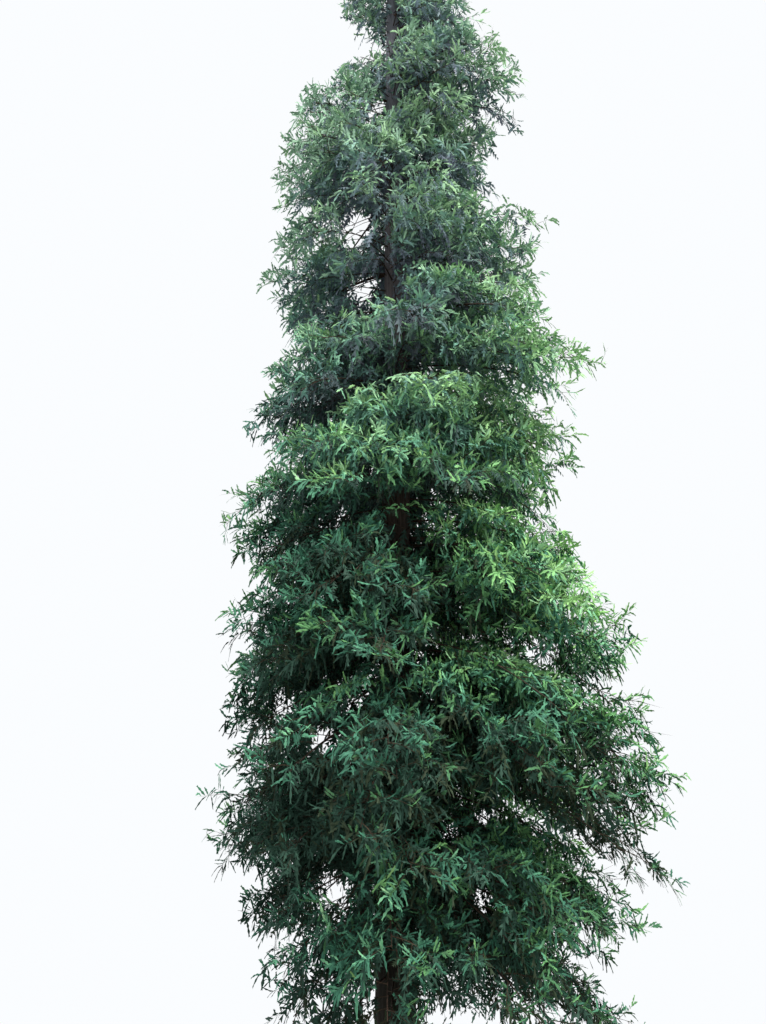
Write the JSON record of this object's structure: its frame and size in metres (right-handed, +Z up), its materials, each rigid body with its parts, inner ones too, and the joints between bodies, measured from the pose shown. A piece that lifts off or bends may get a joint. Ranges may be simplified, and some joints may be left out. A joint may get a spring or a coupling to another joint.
{
  "type": "redwood tree",
  "caption": "Tall garden redwood with one straight tapering trunk, a flared foot and a narrow crown of drooping boughs that end in masses of needle sprays.",
  "frame": {"origin": "middle of the flat cut under the trunk, at ground level", "axes": "+Z up the trunk to the tip, -Y towards the viewer of the picture, +X to that viewer's right"},
  "size_m": [6.0206, 6.161, 22.5],
  "materials": {
    "bark": "rough fibrous red-brown bark, furrowed lengthwise",
    "foliage": "matt dark green needles with paler tips"
  },
  "bodies": {
    "root": {"trunk": "bark", "bough_01": "bark", "bough_02": "bark", "bough_03": "bark", "bough_04": "bark", "bough_05": "bark", "bough_06": "bark", "bough_07": "bark", "bough_08": "bark", "bough_09": "bark", "bough_10": "bark", "bough_11": "bark", "bough_12": "bark", "bough_13": "bark", "bough_14": "bark", "bough_15": "bark", "bough_16": "bark", "bough_17": "bark", "bough_18": "bark", "bough_19": "bark", "bough_20": "bark", "bough_21": "bark", "bough_22": "bark", "bough_23": "bark", "foliage_01": "foliage", "foliage_02": "foliage", "foliage_03": "foliage", "foliage_04": "foliage", "foliage_05": "foliage", "foliage_06": "foliage", "foliage_07": "foliage", "foliage_08": "foliage", "foliage_09": "foliage", "foliage_10": "foliage", "foliage_11": "foliage", "foliage_12": "foliage", "foliage_13": "foliage", "foliage_14": "foliage", "foliage_15": "foliage", "foliage_16": "foliage", "foliage_17": "foliage", "foliage_18": "foliage", "foliage_19": "foliage", "foliage_20": "foliage", "foliage_21": "foliage", "foliage_22": "foliage", "foliage_23": "foliage", "foliage_24": "foliage", "foliage_25": "foliage", "foliage_26": "foliage", "foliage_27": "foliage", "foliage_28": "foliage", "foliage_29": "foliage", "foliage_30": "foliage", "foliage_31": "foliage", "foliage_32": "foliage", "foliage_33": "foliage", "foliage_34": "foliage", "foliage_35": "foliage", "foliage_top": "foliage"}
  },
  "joints": []
}
